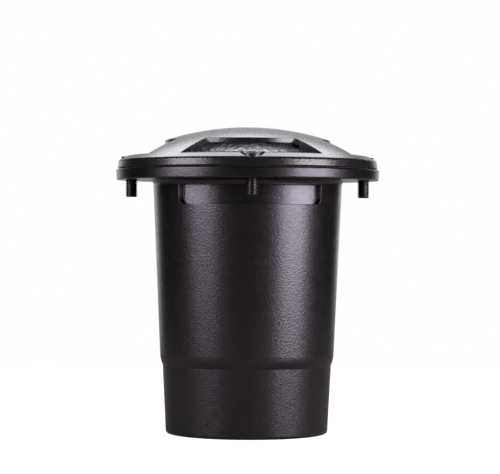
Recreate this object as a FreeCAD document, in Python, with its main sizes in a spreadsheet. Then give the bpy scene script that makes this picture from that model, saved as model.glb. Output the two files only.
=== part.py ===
"""In ground well light: cast housing, four-window top cover and an aimable lamp inside.

The origin is the centre of the flat base, +Z is up and +Y points away from the front window.
All sizes are in millimetres.
"""
import FreeCAD, Part
import math
import os
import Sketcher

Vector = FreeCAD.Vector

# Driving sizes: name, value, what it is.
DRIVING_SIZES = (
    ("base_radius", 52.8, "lower section, outside radius at the base"),
    ("foot_round", 2.0, "round on the bottom edge of the housing"),
    ("lower_top_radius", 54.9, "lower section, outside radius at its top"),
    ("lower_height", 44.5, "height of the lower section"),
    ("shoulder_height", 8.0, "height of the rounded shoulder above the lower section"),
    ("barrel_foot_radius", 56.7, "barrel, outside radius above the shoulder"),
    ("barrel_top_radius", 61.5, "barrel, outside radius under the flange"),
    ("barrel_height", 164.8, "base to the underside of the flange"),
    ("neck_fillet", 3.5, "fillet between the barrel and the flange"),
    ("wall", 3.6, "housing wall thickness"),
    ("floor_thickness", 5.0, "housing floor thickness"),
    ("flange_reach", 24.3, "housing flange, reach out from the top of the barrel"),
    ("flange_draft", 0.3, "radius that the flange edge loses towards its underside"),
    ("flange_thickness", 6.9, "housing flange thickness"),
    ("edge_round", 0.8, "small round on the flange edges"),
    ("seat_width", 6.6, "width of the ledge that carries the lens"),
    ("seat_depth", 5.0, "depth of that ledge below the flange's top face"),
    ("relief_drop", 3.5, "top of the relief pockets below the flange"),
    ("relief_height", 12.5, "height of the relief pockets"),
    ("relief_half_width", 45.4, "half width of a relief pocket at the barrel's surface"),
    ("relief_edge_depth", 4.2, "depth of a relief pocket at its side walls"),
    ("relief_middle_depth", 9.0, "depth of a relief pocket in its middle"),
    ("relief_corner", 4.5, "round in the lower corners of a relief pocket"),
    ("conduit_radius", 9.13, "tapping radius of the half inch conduit entry"),
    ("conduit_boss_wall", 5.9, "wall of the conduit boss"),
    ("conduit_boss_height", 14.0, "length of the conduit entry"),
    ("screw_edge_distance", 10.0, "cover screws, distance in from the flange edge"),
    ("screw_radius", 3.97, "cover screw, thread crest radius"),
    ("screw_pitch", 1.41, "cover screw, thread pitch"),
    ("screw_thread_depth", 0.75, "cover screw, thread depth"),
    ("screw_tail", 11.1, "length of screw that stands out below the flange"),
    ("screw_head_radius", 6.7, "cover screw, head radius"),
    ("screw_head_height", 4.4, "cover screw, head height"),
    ("screw_socket_radius", 3.1, "cover screw, corner radius of the hexagon socket"),
    ("screw_socket_depth", 2.6, "cover screw, depth of the hexagon socket"),
    ("running_clearance", 0.08, "radial clearance of a part that turns or slides in a hole"),
    ("screw_clearance", 0.45, "radial clearance of a fixed screw in its hole"),
    ("thread_clearance", 0.05, "radial clearance drawn between a fixed screw and its tapped hole"),
    ("tap_run_out", 0.5, "depth of a blind tapped hole beyond its screw's tip"),
    ("gasket_thickness", 0.6, "cover gasket, compressed thickness"),
    ("gasket_inset", 3.3, "cover gasket, distance in from the flange edge"),
    ("gasket_seat_gap", 1.0, "cover gasket, distance out from the lens seat"),
    ("gasket_hole_gap", 0.7, "radial gap between a cover screw and its gasket hole"),
    ("lens_gasket_thickness", 1.2, "lens gasket and lens seal, thickness"),
    ("lens_side_gap", 1.0, "radial gap between the lens and its seat"),
    ("lens_rim_thickness", 3.6, "lens, thickness of the flat rim"),
    ("lens_rim_width", 5.0, "lens, width of the flat rim"),
    ("lens_crown_gap", 4.9, "gap between the lens's crown and the cap over it"),
    ("lens_thickness", 5.0, "lens, thickness at the crown"),
    ("lens_foot_width", 2.0, "lens, width of the flat rim's underside inside the crown's foot"),
    ("lens_gasket_inset", 0.3, "lens gasket, distance out from the edge of the seat"),
    ("lens_seal_inset", 0.6, "lens seal, distance out from the crown's foot"),
    ("seal_recess_depth", 0.4, "depth of the recess in the cover for the lens seal"),
    ("seal_recess_gap", 0.8, "radial gap between the lens seal and that recess"),
    ("cover_inset", 1.0, "cover, distance of its edge in from the flange edge"),
    ("cover_draft", 0.6, "radius that the cover edge loses towards its top"),
    ("cover_height", 27.1, "cover, underside to the top of the dome"),
    ("cover_edge_height", 5.15, "cover, height of its edge where the dome would meet it"),
    ("dome_shell", 3.0, "thickness of the cap over the lens"),
    ("crown_flat", 0.6, "radius of the flat spot at the top of the dome, lens and capsule"),
    ("rim_round", 1.8, "round on the cover's outer top edge"),
    ("cover_bore_step", 1.0, "distance of the cavity under the dome in from the lens's crown"),
    ("hood_step", 3.5, "distance of the cap's upright edges in from that cavity's side"),
    ("sill_height", 9.1, "window floor above the cover's underside"),
    ("sill_width", 10.5, "width of the window floor's flat part"),
    ("sill_edge_distance", 5.4, "distance of a window floor's outer end in from the cover's side"),
    ("cheek_splay", 41.4, "angle of a window's side walls to the window's middle"),
    ("cheek_start", 14.3, "distance from the axis to where the side walls would meet"),
    ("counterbore_gap", 0.7, "radial gap between a screw's washer and its counterbore"),
    ("counterbore_floor", 2.4, "cover, thickness left under a screw head"),
    ("washer_overhang", 0.7, "cover screw washer, reach out from under the head"),
    ("washer_thickness", 1.0, "cover screw washer, thickness"),
    ("strap_drop", 70.0, "cross strap, distance of its underside below the tilt axis"),
    ("lug_depth", 12.0, "strap lugs, height of the lug itself"),
    ("lug_width", 16.0, "strap lugs, width"),
    ("lug_reach", 11.0, "strap lugs, reach inwards from the wall"),
    ("strap_thickness", 2.5, "cross strap, thickness"),
    ("strap_width", 20.0, "cross strap, width"),
    ("strap_end_gap", 2.2, "gap between the strap's end and the wall"),
    ("strap_screw_inset", 6.6, "strap screws, distance in from the wall"),
    ("strap_screw_radius", 2.0, "strap screws, thread radius"),
    ("strap_screw_grip", 9.0, "strap screws, length in the lug"),
    ("small_head_radius", 3.9, "small pan head, radius"),
    ("small_head_height", 2.6, "small pan head, height"),
    ("small_slot_width", 1.0, "screwdriver slot, width"),
    ("small_slot_depth", 1.2, "screwdriver slot, depth"),
    ("swivel_radius", 2.5, "swivel screw, shank radius"),
    ("swivel_head_radius", 4.8, "swivel screw, head radius"),
    ("swivel_head_height", 3.4, "swivel screw, head height"),
    ("swivel_tail", 1.5, "swivel screw, length below its nut"),
    ("swivel_washer_radius", 8.0, "washer between strap and yoke, radius"),
    ("swivel_washer_thickness", 1.0, "washer between strap and yoke, thickness"),
    ("spring_washer_radius", 4.9, "spring washer under the strap, radius"),
    ("spring_washer_thickness", 1.2, "spring washer under the strap, thickness"),
    ("nut_flat_width", 8.0, "swivel nut, width across flats"),
    ("nut_height", 4.0, "swivel nut, height"),
    ("yoke_thickness", 2.0, "yoke, sheet thickness"),
    ("yoke_width", 14.0, "yoke, width of its arms"),
    ("yoke_bend", 1.5, "yoke, inside bend radius"),
    ("yoke_arm_top", 7.0, "yoke, height of its arms above the tilt axis"),
    ("yoke_arm_round", 6.0, "yoke, round on the corners of its arms"),
    ("tilt_depth", 30.7, "tilt axis below the ledge that carries the lens"),
    ("ring_wall", 4.2, "lamp ring, wall around the lamp rim"),
    ("ring_bore_gap", 0.4, "radial gap between lamp rim and lamp ring"),
    ("ring_lip", 1.5, "lamp ring, width of the lip under the lamp rim"),
    ("ring_below", 5.0, "lamp ring, depth below the tilt axis"),
    ("ring_above", 6.0, "lamp ring, height above the tilt axis"),
    ("trunnion_radius", 5.0, "lamp ring, radius of its two pivot bosses"),
    ("trunnion_length", 2.7, "lamp ring, length of its two pivot bosses"),
    ("side_gap", 0.3, "gap between a pivot boss and the yoke arm"),
    ("pivot_radius", 2.0, "pivot screws, shank radius"),
    ("pivot_washer_radius", 4.6, "pivot washers, radius"),
    ("pivot_washer_thickness", 0.8, "pivot washers, thickness"),
    ("pivot_tip_gap", 0.3, "gap between a pivot screw's tip and the lamp ring's bore"),
    ("lamp_radius", 25.4, "lamp, rim radius"),
    ("lamp_front_rise", 3.0, "lamp, front face above the tilt axis"),
    ("lamp_rim_thickness", 3.2, "lamp, rim thickness"),
    ("lamp_rim_step", 1.9, "lamp, step in from the rim to the outside of the dish"),
    ("lamp_dish_depth", 31.0, "lamp, depth of the dish from the front"),
    ("lamp_dish_curve", 34.0, "lamp, curvature of the dish outside"),
    ("lamp_neck_radius", 8.5, "lamp, outside radius at the neck"),
    ("lamp_neck_bore", 5.0, "lamp, bore of the neck"),
    ("lamp_wall", 2.0, "lamp, dish thickness"),
    ("front_glass_thickness", 1.5, "lamp, front glass thickness"),
    ("front_glass_ledge", 1.4, "lamp, width of the ledge under the front glass"),
    ("capsule_radius", 4.2, "lamp capsule, radius"),
    ("capsule_height", 15.0, "lamp capsule, height"),
    ("capsule_stand", 3.0, "lamp capsule, height of its foot above the dish's inner floor"),
    ("lamp_base_length", 13.0, "lamp base, length behind the dish"),
    ("lamp_base_width", 15.0, "lamp base, width"),
    ("lamp_base_depth", 11.0, "lamp base, depth"),
    ("pin_radius", 0.75, "lamp pins, radius"),
    ("pin_spacing", 5.3, "lamp pins, distance between them"),
    ("pin_length", 7.0, "lamp pins, length"),
    ("clip_wire_radius", 0.7, "retaining ring, wire radius"),
    ("clip_gap", 0.1, "gap between the retaining ring and the lamp ring's bore"),
    ("socket_width", 18.0, "lamp socket, width"),
    ("socket_depth", 12.0, "lamp socket, depth"),
    ("socket_height", 12.3, "lamp socket, height"),
    ("bracket_thickness", 1.2, "socket bracket, sheet thickness"),
    ("bracket_width", 10.0, "socket bracket, width"),
    ("bracket_half_length", 12.2, "socket bracket, half length of its cross piece"),
    ("bracket_foot_inward", 3.0, "socket bracket, reach of its feet inwards from their screws"),
    ("bracket_foot_outward", 2.2, "socket bracket, reach of its feet outwards from their screws"),
    ("bracket_screw_radius", 1.25, "socket bracket and socket screws, thread radius"),
    ("bracket_screw_head", 1.8, "socket bracket and socket screws, head radius"),
    ("bracket_screw_rise", 1.8, "socket bracket and socket screws, head height"),
    ("bracket_screw_grip", 3.5, "socket bracket and socket screws, length in the thread"),
    ("block_centre", 32.0, "terminal block, distance from the housing's axis"),
    ("block_length", 26.0, "terminal block, length"),
    ("block_width", 12.0, "terminal block, width"),
    ("block_height", 12.0, "terminal block, height"),
    ("terminal_spacing", 15.0, "terminal screws, distance between them"),
    ("terminal_radius", 1.9, "terminal screws, head radius"),
    ("terminal_wire_radius", 1.7, "terminal block, radius of the wire holes"),
    ("terminal_wire_height", 4.2, "terminal block, height of the wire holes"),
    ("terminal_recess", 0.8, "terminal screws, depth of their heads below the block's top"),
    ("terminal_screw_length", 4.5, "terminal screws, length"),
    ("terminal_slot_width", 0.7, "terminal screws, slot width"),
    ("terminal_slot_depth", 0.8, "terminal screws, slot depth"),
    ("block_screw_radius", 1.4, "terminal block screw, thread radius"),
    ("block_screw_grip", 3.5, "terminal block screw, length in the floor"),
    ("block_screw_head", 2.4, "terminal block screw, head radius"),
    ("block_screw_recess", 3.0, "terminal block screw, depth of its counterbore"),
    ("block_screw_rise", 2.1, "terminal block screw, head height"),
    ("block_screw_edge", 0.6, "terminal block screw, bevel on its head"),
    ("ground_offset", 32.0, "ground screw, distance from the housing's axis"),
    ("ground_boss_radius", 5.0, "ground boss, radius"),
    ("ground_boss_height", 6.0, "ground boss, height above the floor"),
    ("ground_screw_radius", 2.0, "ground screw, thread radius"),
    ("ground_screw_grip", 7.0, "ground screw, length in the boss"),
    ("ground_head_flats", 7.0, "ground screw, width across flats"),
    ("ground_head_height", 3.0, "ground screw, head height"),
)

WINDOW_COUNT = 4
SCREW_COUNT = WINDOW_COUNT  # one in the middle of each window
RELIEF_COUNT = 2
THREAD_TURNS = 8
CREST_SHARE = 0.15  # of the pitch, along a thread's crest
FLANK_SHARE = 0.30  # of the pitch, along each flank
HEAD_BEVEL_SHARE = 0.35  # of a small screw head's height
BURIED_SHARE = 1.0 / 3.0  # of the wall, that what stands on its inside sinks into it
FULL_TURN = 360.0
OVERRUN = 1.0  # how far a small cut runs out of what it cuts
FAR_OUT = 10.0
SAME = 0.01  # two levels or lengths closer than this are one

doc = FreeCAD.newDocument("well_light")
sheet = doc.addObject("Spreadsheet::Sheet", "Sizes")
subparts = []


class Size:
    """A size: its number now, and the formula on the sheet that gives it."""

    def __init__(self, number, formula):
        self.number = number
        self.formula = formula

    def joined(self, sign, other, number):
        return Size(number, "(%s %s %s)" % (self.formula, sign, other.formula))

    def __add__(self, other):
        other = as_size(other)
        return self.joined("+", other, self.number + other.number)

    def __sub__(self, other):
        other = as_size(other)
        return self.joined("-", other, self.number - other.number)

    def __mul__(self, other):
        other = as_size(other)
        return self.joined("*", other, self.number * other.number)

    def __truediv__(self, other):
        other = as_size(other)
        return self.joined("/", other, self.number / other.number)

    def __neg__(self):
        return Size(-self.number, "(0 - %s)" % self.formula)


def as_size(value):
    if isinstance(value, Size):
        return value
    return Size(float(value), repr(float(value)))


def root(value):
    return Size(math.sqrt(value.number), "sqrt(%s)" % value.formula)


def sine(angle):
    return Size(math.sin(math.radians(angle.number)), "sin(%s * 1 deg)" % angle.formula)


def cosine(angle):
    return Size(math.cos(math.radians(angle.number)), "cos(%s * 1 deg)" % angle.formula)


def fill_sheet():
    """Write each driving size to the sheet and return them all by name."""
    sizes = {}
    for row, (name, value, note) in enumerate(DRIVING_SIZES, start=1):
        sheet.set("A%d" % row, name)
        sheet.set("B%d" % row, str(value))
        sheet.set("C%d" % row, note)
        sheet.setAlias("B%d" % row, name)
        sizes[name] = Size(value, "Sizes." + name)
    doc.recompute()
    return sizes


class Lookup:
    """The driving sizes as attributes, such as d.wall."""

    def __init__(self, sizes):
        self.__dict__.update(sizes)


d = Lookup(fill_sheet())


# ---------------------------------------------------------------- sketches and features

def bind(target, path, value):
    target.setExpression(path, as_size(value).formula)


def arc_between(start, end, radius, turn):
    """The shorter arc from start to end; turn is 1 to the left and -1 to the right."""
    chord = end.sub(start)
    half = chord.Length / 2.0
    reach = math.sqrt(max(radius * radius - half * half, 0.0))
    left = Vector(-chord.y, chord.x, 0.0).normalize()
    centre = start.add(chord.multiply(0.5)).add(left.multiply(reach * turn))
    first, last = (start, end) if turn > 0 else (end, start)
    first_angle = math.atan2(first.y - centre.y, first.x - centre.x)
    last_angle = math.atan2(last.y - centre.y, last.x - centre.x)
    circle = Part.Circle(centre, Vector(0, 0, 1), radius)
    return Part.ArcOfCircle(circle, first_angle, last_angle)


def hold(sketch, kind, geometry, point, value):
    """Fix one coordinate of a point, measured from the sketch's origin."""
    index = sketch.addConstraint(Sketcher.Constraint(kind, -1, 1, geometry, point, value.number))
    bind(sketch, "Constraints[%d]" % index, value)


def draw_outline(sketch, corners):
    """Draw a closed outline.

    A corner is (x, y), or (x, y, radius, turn) where an arc leads on to the next corner.
    """
    placed = []
    for corner in corners:
        placed.append((as_size(corner[0]), as_size(corner[1])) + tuple(corner[2:]))
    ends = []
    for number, corner in enumerate(placed):
        following = placed[(number + 1) % len(placed)]
        start = Vector(corner[0].number, corner[1].number, 0)
        end = Vector(following[0].number, following[1].number, 0)
        if len(corner) == 2:
            index = sketch.addGeometry(Part.LineSegment(start, end))
            ends.append((index, 1, 2))
            continue
        radius = as_size(corner[2])
        index = sketch.addGeometry(arc_between(start, end, radius.number, corner[3]))
        ends.append((index, 1, 2) if corner[3] > 0 else (index, 2, 1))
    for number, (index, first, last) in enumerate(ends):
        after, after_first, _ = ends[(number + 1) % len(ends)]
        sketch.addConstraint(Sketcher.Constraint("Coincident", index, last, after, after_first))
        hold(sketch, "DistanceX", index, first, placed[number][0])
        hold(sketch, "DistanceY", index, first, placed[number][1])
        if len(placed[number]) == 2:
            continue
        radius = as_size(placed[number][2])
        mark = sketch.addConstraint(Sketcher.Constraint("Radius", index, radius.number))
        bind(sketch, "Constraints[%d]" % mark, radius)


def draw_circle(sketch, x, y, radius):
    x, y, radius = as_size(x), as_size(y), as_size(radius)
    centre = Vector(x.number, y.number, 0)
    index = sketch.addGeometry(Part.Circle(centre, Vector(0, 0, 1), radius.number))
    hold(sketch, "DistanceX", index, 3, x)
    hold(sketch, "DistanceY", index, 3, y)
    mark = sketch.addConstraint(Sketcher.Constraint("Radius", index, radius.number))
    bind(sketch, "Constraints[%d]" % mark, radius)


def draw_axis(sketch, upright, distance):
    """Draw a construction line: upright at x = distance, or level at y = distance."""
    distance = as_size(distance)
    if upright:
        start, end = Vector(distance.number, 0, 0), Vector(distance.number, 1, 0)
    else:
        start, end = Vector(0, distance.number, 0), Vector(1, distance.number, 0)
    index = sketch.addGeometry(Part.LineSegment(start, end), True)
    across, along = ("DistanceX", "DistanceY") if upright else ("DistanceY", "DistanceX")
    hold(sketch, across, index, 1, distance)
    hold(sketch, along, index, 1, as_size(0))
    hold(sketch, across, index, 2, distance)
    hold(sketch, along, index, 2, as_size(1))


def rectangle(left, bottom, right, top):
    return [(left, bottom), (right, bottom), (right, top), (left, top)]


def turned(x, y, step, count):
    """The plan point (x, y) after step of count equal steps about the axis."""
    angle = as_size(FULL_TURN * step / count)
    return x * cosine(angle) - y * sine(angle), x * sine(angle) + y * cosine(angle)


def around(x, y, count):
    """The plan point (x, y) turned to each of count equal steps about the axis."""
    return [turned(x, y, step, count) for step in range(count)]


def hexagon(x, y, corner_radius):
    corners = []
    for step in range(6):
        angle = math.radians(60.0 * step)
        corners.append((x + corner_radius * math.cos(angle), y + corner_radius * math.sin(angle)))
    return corners


def new_body(label):
    body = doc.addObject("PartDesign::Body", label)
    body.Label = label
    body.AllowCompound = True
    subparts.append(body)
    return body


def origin_feature(body, role):
    for feature in body.Origin.OriginFeatures:
        if feature.Role == role:
            return feature
    raise RuntimeError("no %s in %s" % (role, body.Label))


def body_sketch(body, plane, height=None):
    """A sketch on one of the body's own planes, raised by height along its normal."""
    sketch = body.newObject("Sketcher::SketchObject", body.Label + "_sketch")
    sketch.AttachmentSupport = [(origin_feature(body, plane), "")]
    sketch.MapMode = "FlatFace"
    if height is not None:
        bind(sketch, "AttachmentOffset.Base.z", height)
    return sketch


def revolve(body, corners, axis="V_Axis", axis_at=None, cut=False):
    """Turn an outline in the XZ plane a full turn, about the main axis or a line beside it."""
    sketch = body_sketch(body, "XZ_Plane")
    if axis_at is not None:
        draw_axis(sketch, axis == "V_Axis", axis_at)
        axis = "Axis0"
    draw_outline(sketch, corners)
    kind = "PartDesign::Groove" if cut else "PartDesign::Revolution"
    feature = body.newObject(kind, body.Label + "_turned")
    feature.Profile = sketch
    feature.ReferenceAxis = (sketch, [axis])
    feature.Angle = FULL_TURN
    return feature


def pad(body, sketch, length, midplane=False):
    feature = body.newObject("PartDesign::Pad", body.Label + "_pad")
    feature.Profile = sketch
    feature.Midplane = midplane
    bind(feature, "Length", length)
    return feature


def pocket(body, sketch, length, upward=True, midplane=False):
    """Cut along the sketch's normal when upward, otherwise against it."""
    doc.recompute()
    before = body.Tip.Shape.Volume
    feature = body.newObject("PartDesign::Pocket", body.Label + "_pocket")
    feature.Profile = sketch
    feature.Midplane = midplane
    feature.Reversed = upward
    bind(feature, "Length", length)
    doc.recompute()
    if feature.Shape.isNull() or feature.Shape.Volume > before - 1e-6:
        raise RuntimeError("a pocket in %s cuts nothing" % body.Label)
    return feature


def circles_sketch(body, plane, height, circles):
    sketch = body_sketch(body, plane, height)
    for x, y, radius in circles:
        draw_circle(sketch, x, y, radius)
    return sketch


def outline_sketch(body, plane, height, *outlines):
    sketch = body_sketch(body, plane, height)
    for corners in outlines:
        draw_outline(sketch, corners)
    return sketch


def repeat(body, features, count):
    """Repeat features at equal steps about the body's upright axis."""
    pattern = body.newObject("PartDesign::PolarPattern", body.Label + "_pattern")
    pattern.Originals = features
    pattern.Axis = (origin_feature(body, "Z_Axis"), [""])
    pattern.Angle = FULL_TURN
    pattern.Occurrences = count
    body.Tip = pattern
    return pattern


def fillet(body, base, radius, is_wanted):
    """Round the edges of base that is_wanted picks."""
    doc.recompute()
    names = []
    for number, edge in enumerate(base.Shape.Edges, start=1):
        if is_wanted(edge):
            names.append("Edge%d" % number)
    if not names:
        raise RuntimeError("no edge to round in %s" % body.Label)
    feature = body.newObject("PartDesign::Fillet", body.Label + "_fillet")
    feature.Base = (base, names)
    bind(feature, "Radius", radius)
    return feature


def flat_ring(label, inner, outer, bottom, thickness, holes=()):
    body = new_body(label)
    circles = [(0, 0, outer), (0, 0, inner)] + list(holes)
    pad(body, circles_sketch(body, "XY_Plane", bottom, circles), thickness)
    return body


def upright_screw(label, x, tip, seat, shank, head_radius, head_height, count):
    """Slotted pan head screws that point down, on a circle of radius x."""
    body = new_body(label)
    top = seat + head_height
    edge = head_height * HEAD_BEVEL_SHARE
    feature = revolve(body, [
        (x, tip),
        (x + shank, tip),
        (x + shank, seat),
        (x + head_radius, seat),
        (x + head_radius, top - edge),
        (x + head_radius - edge, top),
        (x, top),
    ], axis_at=x)
    slot_end = head_radius + OVERRUN
    slot = rectangle(x - slot_end, -d.small_slot_width / 2, x + slot_end, d.small_slot_width / 2)
    sketch = outline_sketch(body, "XY_Plane", top - d.small_slot_depth, slot)
    slot_cut = pocket(body, sketch, d.small_slot_depth + OVERRUN)
    if count > 1:
        repeat(body, [feature, slot_cut], count)
    return body


# ---------------------------------------------------------------- levels that pieces share

flange_radius = d.barrel_top_radius + d.flange_reach
flange_top = d.barrel_height + d.flange_thickness
shoulder_top = d.lower_height + d.shoulder_height
seat_level = flange_top - d.seat_depth
bore_top_radius = d.barrel_top_radius - d.wall
seat_radius = bore_top_radius + d.seat_width
screw_circle_radius = flange_radius - d.screw_edge_distance
lens_radius = seat_radius - d.lens_side_gap
crown_foot = lens_radius - d.lens_rim_width
lens_bottom = seat_level + d.lens_gasket_thickness
lens_rim_top = lens_bottom + d.lens_rim_thickness
cover_bottom = flange_top + d.gasket_thickness
cover_top = cover_bottom + d.cover_height
inside_top = cover_top - d.dome_shell
cover_radius = flange_radius - d.cover_inset
cover_bore_radius = crown_foot - d.cover_bore_step
crown_top = inside_top - d.lens_crown_gap
seal_level = cover_bottom + d.seal_recess_depth
head_seat = cover_bottom + d.counterbore_floor
screw_seat = head_seat + d.washer_thickness
washer_radius = d.screw_head_radius + d.washer_overhang
screw_tip = d.barrel_height - d.screw_tail
tilt_height = seat_level - d.tilt_depth
strap_bottom = tilt_height - d.strap_drop
strap_top = strap_bottom + d.strap_thickness
yoke_bottom = strap_top + d.swivel_washer_thickness
yoke_floor = yoke_bottom + d.yoke_thickness
lamp_front = tilt_height + d.lamp_front_rise
lamp_rim_bottom = lamp_front - d.lamp_rim_thickness
ring_bore = d.lamp_radius + d.ring_bore_gap
ring_lip_bore = ring_bore - d.ring_lip
ring_radius = ring_bore + d.ring_wall
ring_bottom = tilt_height - d.ring_below
bracket_screw_circle = (ring_lip_bore + ring_radius) / 2
arm_inner = ring_radius + d.trunnion_length + d.side_gap
arm_outer = arm_inner + d.yoke_thickness
dish_bottom = lamp_front - d.lamp_dish_depth
capsule_level = dish_bottom + d.lamp_wall + d.capsule_stand
lamp_base_bottom = dish_bottom - d.lamp_base_length
socket_bottom = lamp_base_bottom - d.socket_height
lug_level_share = (strap_bottom - shoulder_top) / (d.barrel_height - shoulder_top)
wall_at_strap = (d.barrel_foot_radius - d.wall
                 + (d.barrel_top_radius - d.barrel_foot_radius) * lug_level_share)
strap_half_length = wall_at_strap - d.strap_end_gap
strap_screw_x = wall_at_strap - d.strap_screw_inset
block_top = d.floor_thickness + d.block_height


# ---------------------------------------------------------------- housing

def housing_outline():
    shoulder_step = d.barrel_foot_radius - d.lower_top_radius
    shoulder_curve = (shoulder_step * shoulder_step + d.shoulder_height * d.shoulder_height)
    shoulder_curve = shoulder_curve / (shoulder_step * 2)
    edge_low = flange_radius - d.flange_draft
    neck = d.neck_fillet
    edge = d.edge_round
    return [
        (0, 0),
        (d.base_radius - d.foot_round, 0, d.foot_round, 1),
        (d.base_radius, d.foot_round),
        (d.lower_top_radius, d.lower_height, shoulder_curve, 1),
        (d.barrel_foot_radius, shoulder_top),
        (d.barrel_top_radius, d.barrel_height - neck, neck, -1),
        (d.barrel_top_radius + neck, d.barrel_height),
        (edge_low - edge, d.barrel_height, edge, 1),
        (edge_low, d.barrel_height + edge),
        (flange_radius, flange_top - edge, edge, 1),
        (flange_radius - edge, flange_top),
        (seat_radius, flange_top),
        (seat_radius, seat_level),
        (bore_top_radius, seat_level),
        (d.barrel_foot_radius - d.wall, shoulder_top),
        (d.lower_top_radius - d.wall, d.lower_height),
        (d.base_radius - d.wall, d.floor_thickness),
        (0, d.floor_thickness),
    ]


def relief_geometry():
    """The front relief pocket in plan: outer corner, inner corner, floor's curve and centre."""
    surface = d.barrel_top_radius
    across = d.relief_half_width / surface
    along = root(as_size(1) - across * across)
    floor_reach = surface - d.relief_edge_depth
    far = surface + FAR_OUT
    outer = (across * far, -(along * far))
    inner = (across * floor_reach, -(along * floor_reach))
    middle = d.relief_middle_depth - surface
    bulge = inner[1] - middle
    curve = (inner[0] * inner[0] + bulge * bulge) / (bulge * 2)
    return outer, inner, curve, middle + curve


def relief_outline():
    outer, inner, curve, _ = relief_geometry()
    front = -(flange_radius + FAR_OUT)
    return [
        (-inner[0], inner[1], curve, 1),
        (inner[0], inner[1]),
        (outer[0], outer[1]),
        (outer[0], front),
        (-outer[0], front),
        (-outer[0], outer[1]),
    ]


def backing_outline():
    """Crescent of wall that stands behind the relief pocket, inside the barrel."""
    _, _, floor_curve, floor_centre = relief_geometry()
    buried = bore_top_radius + d.wall * BURIED_SHARE
    curve = floor_curve - d.wall
    meet_y = (buried * buried + floor_centre * floor_centre - curve * curve) / (floor_centre * 2)
    meet_x = root(buried * buried - meet_y * meet_y)
    return [
        (-meet_x, meet_y, buried, 1),
        (meet_x, meet_y, curve, -1),
    ]


def make_housing():
    body = new_body("housing")
    revolve(body, housing_outline())

    relief_floor = d.barrel_height - d.relief_drop - d.relief_height
    backing_bottom = relief_floor - d.wall
    sketch = outline_sketch(body, "XY_Plane", backing_bottom, backing_outline())
    backing = pad(body, sketch, seat_level - backing_bottom)
    repeat(body, [backing], RELIEF_COUNT)

    relief_sketch = outline_sketch(body, "XY_Plane", relief_floor, relief_outline())
    relief = pocket(body, relief_sketch, d.relief_height)
    reliefs = repeat(body, [relief], RELIEF_COUNT)

    low = relief_floor.number
    side = relief_geometry()[1][0].number

    def is_relief_corner(edge):
        ends = [vertex.Point for vertex in edge.Vertexes]
        level = all(abs(point.z - low) < SAME for point in ends)
        aside = all(abs(point.x) > side - SAME for point in ends)
        return len(ends) == 2 and level and aside and edge.Length < FAR_OUT

    fillet(body, reliefs, d.relief_corner, is_relief_corner)

    lug_outer = wall_at_strap + d.wall * BURIED_SHARE
    lug_inner = wall_at_strap - d.lug_reach
    half = d.lug_width / 2
    right = rectangle(lug_inner, -half, lug_outer, half)
    left = rectangle(-lug_outer, -half, -lug_inner, half)
    lug_bottom = strap_bottom - d.lug_depth
    pad(body, outline_sketch(body, "XY_Plane", lug_bottom, right, left), d.lug_depth)
    boss = [(0, 0, d.conduit_radius + d.conduit_boss_wall)]
    pad(body, circles_sketch(body, "XY_Plane", as_size(0), boss), d.conduit_boss_height)
    ground_boss = [(0, d.ground_offset, d.ground_boss_radius)]
    boss_height = d.floor_thickness + d.ground_boss_height
    pad(body, circles_sketch(body, "XY_Plane", as_size(0), ground_boss), boss_height)

    conduit = circles_sketch(body, "XY_Plane", as_size(0), [(0, 0, d.conduit_radius)])
    pocket(body, conduit, d.conduit_boss_height)
    hole = d.ground_screw_radius + d.thread_clearance
    ground = circles_sketch(body, "XY_Plane", boss_height, [(0, d.ground_offset, hole)])
    pocket(body, ground, d.ground_screw_grip + d.tap_run_out, upward=False)
    hole = d.block_screw_radius + d.thread_clearance
    block = circles_sketch(body, "XY_Plane", d.floor_thickness, [(-d.block_centre, 0, hole)])
    pocket(body, block, d.block_screw_grip + d.tap_run_out, upward=False)
    hole = d.strap_screw_radius + d.thread_clearance
    lugs = [(strap_screw_x, 0, hole), (-strap_screw_x, 0, hole)]
    lug_sketch = circles_sketch(body, "XY_Plane", strap_bottom, lugs)
    pocket(body, lug_sketch, d.strap_screw_grip + d.tap_run_out, upward=False)
    hole = d.screw_radius + d.running_clearance
    flange = [(x, y, hole) for x, y in around(as_size(0), -screw_circle_radius, SCREW_COUNT)]
    pocket(body, circles_sketch(body, "XY_Plane", d.barrel_height, flange), d.flange_thickness)


# ---------------------------------------------------------------- gaskets and lens

def make_gaskets():
    hole = d.screw_radius + d.gasket_hole_gap
    places = around(as_size(0), -screw_circle_radius, SCREW_COUNT)
    holes = [(x, y, hole) for x, y in places]
    inner = seat_radius + d.gasket_seat_gap
    outer = flange_radius - d.gasket_inset
    flat_ring("cover_gasket", inner, outer, flange_top, d.gasket_thickness, holes)
    seat_edge = bore_top_radius + d.lens_gasket_inset
    flat_ring("lens_gasket", seat_edge, lens_radius, seat_level, d.lens_gasket_thickness)
    seal_inner = crown_foot + d.lens_seal_inset
    seal_thickness = seal_level - lens_rim_top
    flat_ring("lens_seal", seal_inner, lens_radius, lens_rim_top, seal_thickness)


def cap_level(top, curve, radius):
    """Height of a spherical cap at a radius, where its sphere would reach up to top."""
    return top - curve + root(curve * curve - radius * radius)


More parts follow.
